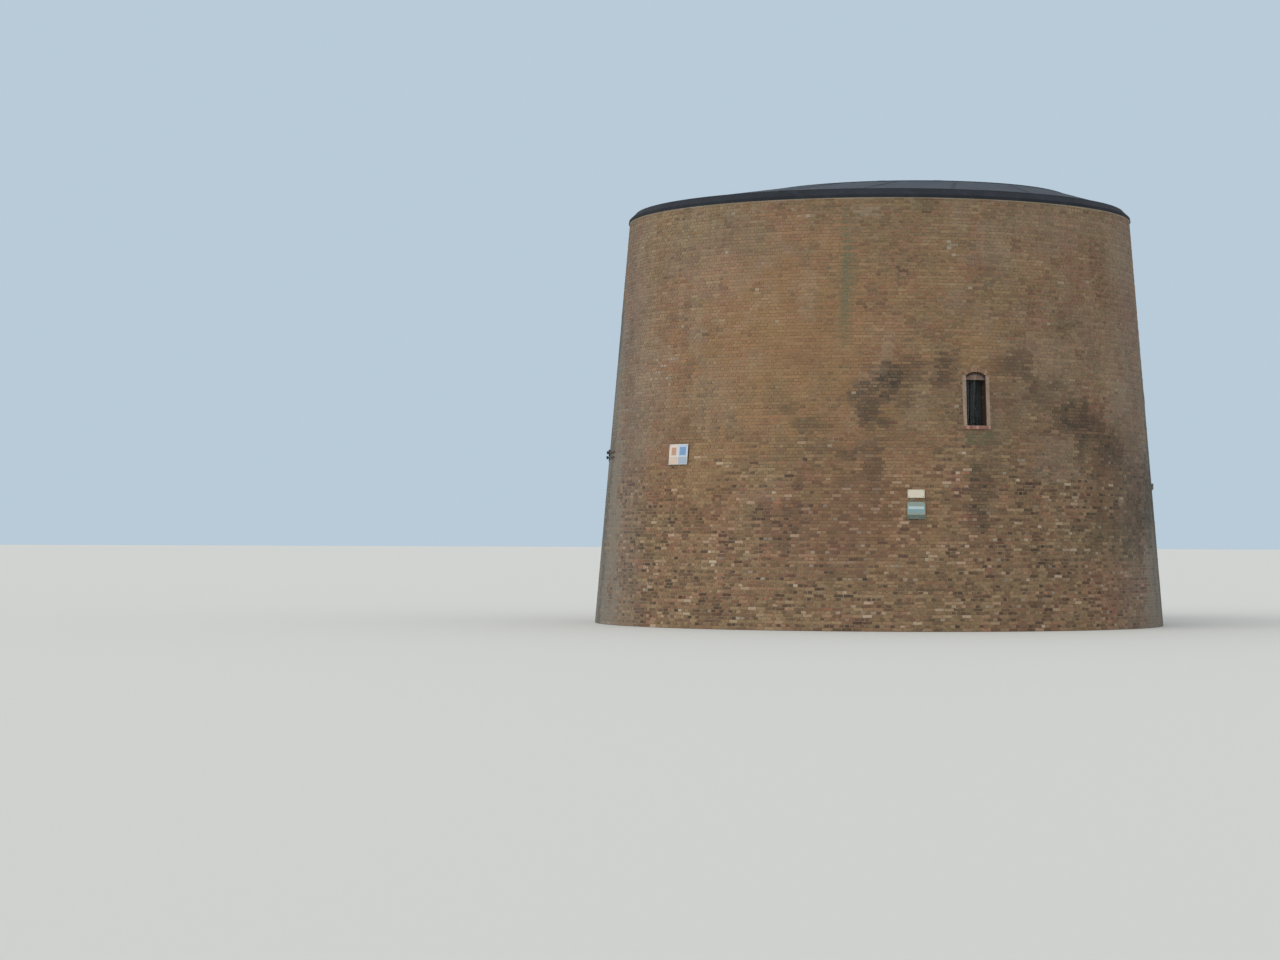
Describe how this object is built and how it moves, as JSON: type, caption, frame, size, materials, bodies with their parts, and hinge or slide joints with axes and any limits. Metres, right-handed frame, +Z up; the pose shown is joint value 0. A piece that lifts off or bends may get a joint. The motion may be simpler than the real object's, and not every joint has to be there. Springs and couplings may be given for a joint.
{
  "type": "martello tower",
  "caption": "Round battered brick gun tower with thick walls, a raised doorway, arched windows, a ring vault on a central pier and a shallow domed roof.",
  "frame": {"origin": "centre of the tower's base, on the level that it stands on", "axes": "+Z up the tower's axis; +X toward the land, through the raised doorway; -X toward the sea, through the thickest wall"},
  "size_m": [13.8496, 13.8496, 10.7023],
  "materials": {
    "stock_brick": "weathered brickwork in lime mortar",
    "whitewashed_brick": "old limewash on brick",
    "brick_paving": "worn brick paving",
    "oak": "aged oak",
    "stone_paving": "worn flagstones",
    "red_sill_brick": "weathered red brick",
    "buff_dressing": "buff dressed stone",
    "weathered_timber": "weathered painted timber",
    "painted_door": "dark painted boards",
    "threshold_stone": "worn hard stone",
    "black_felt": "black roofing felt",
    "grey_membrane": "grey roofing membrane, dusty",
    "lime_mortar": "weathered lime mortar",
    "wrought_iron": "wrought iron under old paint and rust",
    "window_glass": "thin clear window glass, dusty",
    "sign_sheet": "painted sheet metal, faded"
  },
  "bodies": {
    "root": {"lower_wall_landward": "stock_brick", "lower_wall_landward_front": "stock_brick", "lower_wall_front": "stock_brick", "lower_wall_seaward_front": "stock_brick", "lower_wall_seaward": "stock_brick", "lower_wall_seaward_back": "stock_brick", "lower_wall_back": "stock_brick", "lower_wall_landward_back": "stock_brick", "upper_wall_doorway": "stock_brick", "upper_wall_landward_front": "stock_brick", "upper_wall_front_window": "stock_brick", "upper_wall_front": "stock_brick", "upper_wall_seaward_front": "stock_brick", "upper_wall_seaward_back": "stock_brick", "upper_wall_back": "stock_brick", "upper_wall_back_window": "stock_brick", "upper_wall_landward_back": "stock_brick", "parapet_landward": "stock_brick", "parapet_landward_front": "stock_brick", "parapet_front": "stock_brick", "parapet_seaward_front": "stock_brick", "parapet_seaward": "stock_brick", "parapet_seaward_back": "stock_brick", "parapet_back": "stock_brick", "parapet_landward_back": "stock_brick", "vault_landward": "whitewashed_brick", "vault_front": "whitewashed_brick", "vault_seaward": "whitewashed_brick", "vault_back": "whitewashed_brick", "central_pier": "whitewashed_brick", "store_paving": "brick_paving", "floor_joists": "oak", "floor_boards": "oak", "gun_platform": "stone_paving", "window_sills": "red_sill_brick", "window_jambs": "buff_dressing", "window_heads": "red_sill_brick", "window_frames": "weathered_timber", "door": "painted_door", "door_frame": "weathered_timber", "threshold": "threshold_stone", "roof_deck": "grey_membrane", "roof_fascia": "black_felt", "roof_kerb": "oak", "roof_dome": "grey_membrane"}
  },
  "joints": []
}
